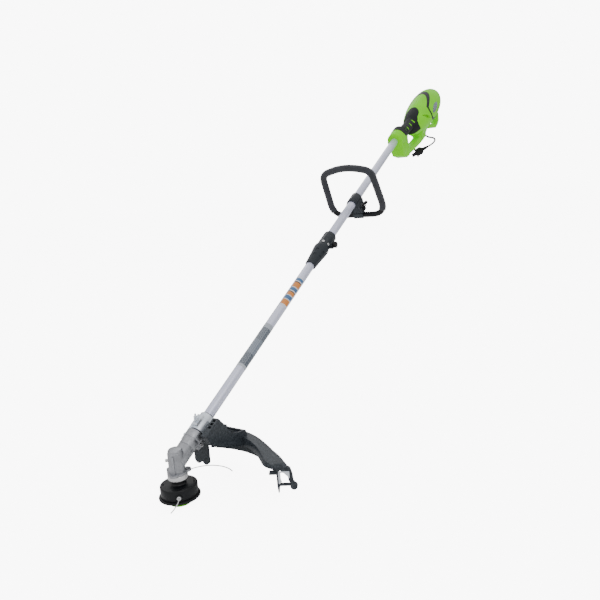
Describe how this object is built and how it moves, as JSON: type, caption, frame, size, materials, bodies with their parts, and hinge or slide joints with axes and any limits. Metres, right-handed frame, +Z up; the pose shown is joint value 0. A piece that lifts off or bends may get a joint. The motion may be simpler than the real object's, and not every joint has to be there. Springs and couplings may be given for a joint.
{
  "type": "string trimmer",
  "caption": "Corded string trimmer: straight two-piece shaft, rear motor housing with D-shaped grip, sliding loop handle, angled gearbox, cutting head and curved guard.",
  "frame": {"origin": "on the ground directly under the cutting head, where the head's axis meets the floor under the bump knob", "axes": "+Z up along the cutting head's axis; +X towards the operator and the motor housing, the shaft rising in the XZ plane at 30 degrees; +Y to the operator's right"},
  "size_m": [1.7111, 0.3288, 1.0169],
  "materials": {
    "green_plastic": "smooth bright green, low gloss",
    "black_plastic": "black, fine texture",
    "guard_plastic": "charcoal, fine texture",
    "soft_grip": "soft grip, fine texture",
    "foam": "closed-cell foam",
    "rubber": "plain black",
    "tube_alloy": "satin anodised",
    "cast_alloy": "fine cast",
    "steel": "plain",
    "zinc_steel": "bright zinc plate",
    "label": "printed film",
    "badge": "printed plate",
    "line_white": "translucent white nylon",
    "bush_white": "natural",
    "motor_iron": "laminated iron",
    "copper": "wound copper and brass"
  },
  "bodies": {
    "powerhead": {"upper_tube": "tube_alloy", "upper_bushings": "bush_white", "housing_left": "green_plastic", "housing_right": "green_plastic", "grip_cover": "soft_grip", "stripe_band": "black_plastic", "badge": "badge", "cord_hook": "green_plastic", "housing_screws": "steel", "trigger_spring": "steel", "switch_box": "black_plastic", "flex_liner": "steel", "motor_stator": "motor_iron", "motor_bearings": "steel", "brush_holders": "copper", "motor_frame": "black_plastic", "cord_gland": "rubber", "power_cord": "rubber", "plug": "rubber"},
    "lower_boom": {"gearbox_housing": "cast_alloy", "gearbox_bearings": "steel", "gearbox_screws": "steel", "lower_tube": "tube_alloy", "lower_bushings": "bush_white", "shaft_labels": "label", "guard_bracket": "zinc_steel", "bracket_pad": "rubber", "guard_shell": "guard_plastic", "cutter_blade": "zinc_steel", "guard_screws": "zinc_steel", "coupler_barrel": "guard_plastic", "coupler_clamp": "guard_plastic", "coupler_bolts": "steel"},
    "cutting_head": {"head_housing": "black_plastic", "head_rim": "black_plastic", "line_eyelets": "steel", "cutting_line": "line_white", "drive_collar": "steel", "output_shaft": "steel", "bevel_gear": "steel", "head_spring": "steel"},
    "line_feed": {"line_spool": "black_plastic", "wound_line": "line_white", "bump_knob": "green_plastic"},
    "lower_drive": {"bevel_pinion": "steel", "lower_drive_shaft": "steel"},
    "upper_drive": {"upper_drive_shaft": "steel"},
    "rotor": {"armature": "copper", "cooling_fan": "black_plastic"},
    "trigger_lever": {"trigger": "black_plastic"},
    "lock_peg": {"lock_button": "black_plastic"},
    "release_pin": {"release_button": "steel"},
    "clamp_knob": {"coupler_knob": "black_plastic"},
    "guard_nut": {"guard_wing_nut": "zinc_steel"},
    "handle_mount": {"handle_saddle": "guard_plastic", "handle_bolt": "steel"},
    "loop_handle": {"loop_frame": "black_plastic", "loop_grip": "foam", "handle_block": "guard_plastic"},
    "handle_nut": {"handle_wing_nut": "black_plastic"}
  },
  "joints": [
    {"name": "boom_slide", "type": "slide", "parent": "powerhead", "child": "lower_boom", "axis": [-0.866, 0, -0.5], "range_m": [0, 0.05]},
    {"name": "head_spin", "type": "hinge", "parent": "lower_boom", "child": "cutting_head", "pos_m": [0, 0, 0.06], "axis": [0, 0, 1], "continuous": true},
    {"name": "bump_press", "type": "slide", "parent": "cutting_head", "child": "line_feed", "axis": [0, 0, 1], "range_m": [0, 0.005], "stiffness_N_per_m": 3000, "springref_m": -0.004, "deforming": ["head_spring"]},
    {"name": "lower_shaft_spin", "type": "hinge", "parent": "lower_boom", "child": "lower_drive", "pos_m": [0, 0, 0.092], "axis": [0.866, 0, 0.5], "continuous": true},
    {"name": "upper_shaft_spin", "type": "hinge", "parent": "powerhead", "child": "upper_drive", "pos_m": [0, 0, 0.092], "axis": [0.866, 0, 0.5], "continuous": true},
    {"name": "rotor_spin", "type": "hinge", "parent": "powerhead", "child": "rotor", "pos_m": [1.48824, 0, 0.91429], "axis": [0.866, 0, 0.5], "continuous": true},
    {"name": "trigger_pull", "type": "hinge", "parent": "powerhead", "child": "trigger_lever", "pos_m": [1.29345, 0, 0.81568], "axis": [0, -1, 0], "range_deg": [0, 6], "stiffness_Nm_per_rad": 1.5, "springref_deg": -8.59, "deforming": ["trigger_spring"]},
    {"name": "lock_press", "type": "slide", "parent": "powerhead", "child": "lock_peg", "axis": [-0.866, 0, -0.5], "range_m": [0, 0.006], "stiffness_N_per_m": 400, "springref_m": -0.003},
    {"name": "release_press", "type": "slide", "parent": "powerhead", "child": "release_pin", "axis": [-0.5, 0, 0.866], "range_m": [0, 0.003], "stiffness_N_per_m": 600, "springref_m": -0.003},
    {"name": "clamp_knob_turn", "type": "hinge", "parent": "lower_boom", "child": "clamp_knob", "pos_m": [0.68889, -0.03, 0.4828], "axis": [0, 1, 0], "range_deg": [0, 720]},
    {"name": "handle_slide", "type": "slide", "parent": "powerhead", "child": "handle_mount", "axis": [0.866, 0, 0.5], "range_m": [-0.12, 0.25]},
    {"name": "handle_tilt", "type": "hinge", "parent": "handle_mount", "child": "loop_handle", "pos_m": [0.89868, 0, 0.58545], "axis": [0, 1, 0], "range_deg": [-25, 25]},
    {"name": "handle_nut_turn", "type": "hinge", "parent": "handle_mount", "child": "handle_nut", "pos_m": [0.89868, -0.026, 0.58545], "axis": [0, 1, 0], "range_deg": [0, 720]},
    {"name": "guard_nut_turn", "type": "hinge", "parent": "lower_boom", "child": "guard_nut", "pos_m": [0.07324, 0, 0.16315], "axis": [-0.5, 0, 0.866], "range_deg": [0, 720]}
  ],
  "couplings": [
    {"joint": "lower_shaft_spin", "follows": "head_spin", "ratio": 1.3333},
    {"joint": "upper_shaft_spin", "follows": "head_spin", "ratio": 1.3333},
    {"joint": "rotor_spin", "follows": "head_spin", "ratio": 1.3333}
  ]
}
